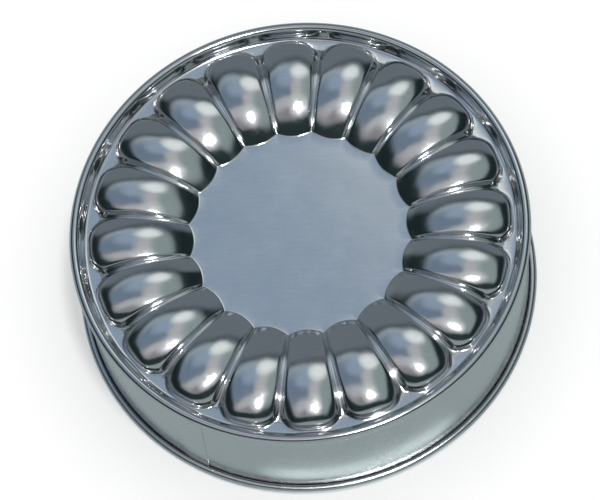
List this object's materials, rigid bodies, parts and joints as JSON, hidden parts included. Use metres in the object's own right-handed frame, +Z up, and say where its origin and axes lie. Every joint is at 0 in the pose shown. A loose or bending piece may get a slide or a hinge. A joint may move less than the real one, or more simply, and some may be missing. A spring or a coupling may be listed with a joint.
{
  "type": "cookie mould",
  "caption": "Round pressed-metal cookie mould: a ring of rounded lobes around a flat centre, a rolled wired rim over a standing skirt with a wired foot, hollow and open underneath.",
  "frame": {"origin": "on the surface that the mould stands on, at the mould's axis", "axes": "+Z up along the mould's axis, out of the lobes' crests; a lobe lies on +X"},
  "size_m": [0.2238, 0.2238, 0.0659],
  "materials": {
    "pressed_tin": "bright tin plate, pressed, lightly dulled with use",
    "skirt_tin": "bright tin plate, rolled, faint lengthways grain",
    "wire": "plain drawn steel wire"
  },
  "bodies": {
    "root": {"lobed_plate": "pressed_tin", "skirt": "skirt_tin", "rim_wire": "wire", "base_wire": "wire"}
  },
  "joints": []
}
